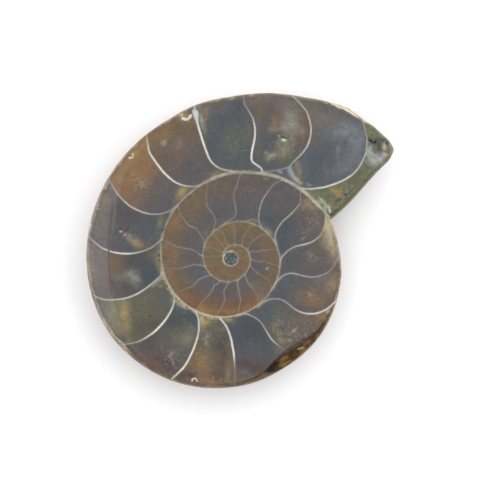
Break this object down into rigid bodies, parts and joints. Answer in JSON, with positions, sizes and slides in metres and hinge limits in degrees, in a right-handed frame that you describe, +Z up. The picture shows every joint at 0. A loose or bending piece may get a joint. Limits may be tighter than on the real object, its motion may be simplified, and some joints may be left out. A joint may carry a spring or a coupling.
{
  "type": "ammonite fossil half",
  "caption": "Sawn and polished half of a coiled ammonite fossil that shows its chambers, lying with the polished face up.",
  "frame": {"origin": "centre of the bounding box at the surface the half lies on", "axes": "+Z up, out of the polished face; +X right and +Y away from the viewer looking down on the face, with the lip at the far right"},
  "size_m": [0.0494, 0.0474, 0.007],
  "materials": {
    "fossil_stone": "polished brown and slate calcite with cream shell walls"
  },
  "bodies": {
    "root": {"ammonite_half": "fossil_stone"}
  },
  "joints": []
}
